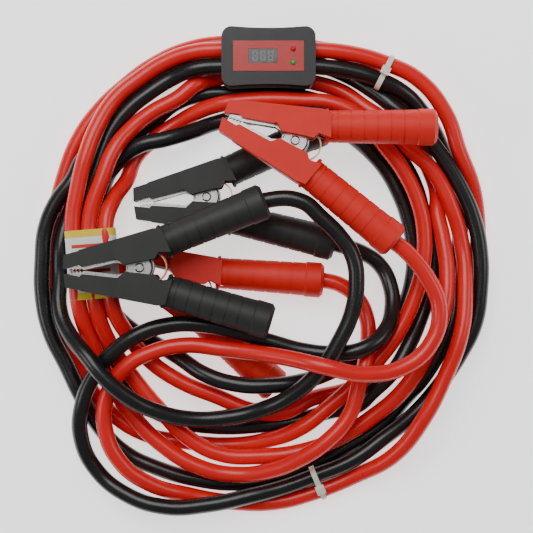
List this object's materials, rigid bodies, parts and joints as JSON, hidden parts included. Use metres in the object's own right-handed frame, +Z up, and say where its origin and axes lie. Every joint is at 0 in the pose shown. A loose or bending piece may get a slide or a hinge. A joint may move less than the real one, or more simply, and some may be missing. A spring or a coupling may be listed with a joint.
{
  "type": "booster cable set",
  "caption": "Coiled red and black booster cables with sprung battery clamps, an inline protector box with display, cable ties and a paper label sleeve.",
  "frame": {"origin": "centre of the base of the box round everything but the two cables, on the surface that the set lies on", "axes": "+Z up from the surface, +Y along the longest side of the box, from the lower tie to the protector box, +X to the right"},
  "size_m": [0.4104, 0.4377, 0.0821],
  "materials": {
    "red_jacket": "glossy soft PVC",
    "black_jacket": "glossy soft PVC",
    "red_sheath": "matt moulded PVC",
    "black_sheath": "matt moulded PVC",
    "nickel_plate": "nickel-plated steel sheet",
    "steel": "zinc-plated steel",
    "copper": "bare copper",
    "case_plastic": "fine moulded texture",
    "face_plastic": "satin",
    "window_plastic": "smoked",
    "digit_film": "unlit display bars",
    "red_lens": "translucent lens",
    "green_lens": "translucent lens",
    "board_laminate": "glass-fibre laminate",
    "suppressor_body": "moulded epoxy",
    "nylon": "natural nylon",
    "paper": null
  },
  "bodies": {
    "set": {"red_cable": "red_jacket", "black_cable": "black_jacket", "red_front_fixed_grip": "red_sheath", "red_front_fixed_jaw_plate": "nickel_plate", "red_front_rivet": "steel", "red_front_torsion_spring": "steel", "red_front_copper_braid": "copper", "red_front_crimp_lug": "copper", "black_front_fixed_grip": "black_sheath", "black_front_fixed_jaw_plate": "nickel_plate", "black_front_rivet": "steel", "black_front_torsion_spring": "steel", "black_front_copper_braid": "copper", "black_front_crimp_lug": "copper", "black_rear_fixed_grip": "black_sheath", "black_rear_fixed_jaw_plate": "nickel_plate", "black_rear_rivet": "steel", "black_rear_torsion_spring": "steel", "black_rear_copper_braid": "copper", "black_rear_crimp_lug": "copper", "red_rear_fixed_grip": "red_sheath", "red_rear_fixed_jaw_plate": "nickel_plate", "red_rear_rivet": "steel", "red_rear_torsion_spring": "steel", "red_rear_copper_braid": "copper", "red_rear_crimp_lug": "copper", "back_shell": "case_plastic", "front_shell": "case_plastic", "face_plate": "face_plastic", "display_window": "window_plastic", "display_digits": "digit_film", "red_lamp": "red_lens", "green_lamp": "green_lens", "circuit_board": "board_laminate", "surge_suppressor": "suppressor_body", "case_screws": "steel", "upper_tie": "nylon", "lower_tie": "nylon", "label_sleeve": "paper"},
    "red_front_lever": {"red_front_moving_grip": "red_sheath", "red_front_moving_jaw_plate": "nickel_plate"},
    "black_front_lever": {"black_front_moving_grip": "black_sheath", "black_front_moving_jaw_plate": "nickel_plate"},
    "black_rear_lever": {"black_rear_moving_grip": "black_sheath", "black_rear_moving_jaw_plate": "nickel_plate"},
    "red_rear_lever": {"red_rear_moving_grip": "red_sheath", "red_rear_moving_jaw_plate": "nickel_plate"}
  },
  "joints": [
    {"name": "red_front_jaw", "type": "hinge", "parent": "set", "child": "red_front_lever", "pos_m": [0.041, 0.109, 0.063], "axis": [0, 0, -1], "range_deg": [0, 22], "stiffness_Nm_per_rad": 2, "springref_deg": -20.05, "deforming": ["red_front_torsion_spring", "red_front_copper_braid"]},
    {"name": "black_front_jaw", "type": "hinge", "parent": "set", "child": "black_front_lever", "pos_m": [-0.094, -0.001, 0.059], "axis": [0, 0, 1], "range_deg": [0, 22], "stiffness_Nm_per_rad": 2, "springref_deg": -20.05, "deforming": ["black_front_torsion_spring", "black_front_copper_braid"]},
    {"name": "black_rear_jaw", "type": "hinge", "parent": "set", "child": "black_rear_lever", "pos_m": [-0.038, 0.063, 0.016], "axis": [0, 0, -1], "range_deg": [0, 22], "stiffness_Nm_per_rad": 2, "springref_deg": -20.05, "deforming": ["black_rear_torsion_spring", "black_rear_copper_braid"]},
    {"name": "red_rear_jaw", "type": "hinge", "parent": "set", "child": "red_rear_lever", "pos_m": [-0.056, -0.017, 0.016], "axis": [0, 0, 1], "range_deg": [0, 22], "stiffness_Nm_per_rad": 2, "springref_deg": -20.05, "deforming": ["red_rear_torsion_spring", "red_rear_copper_braid"]}
  ]
}
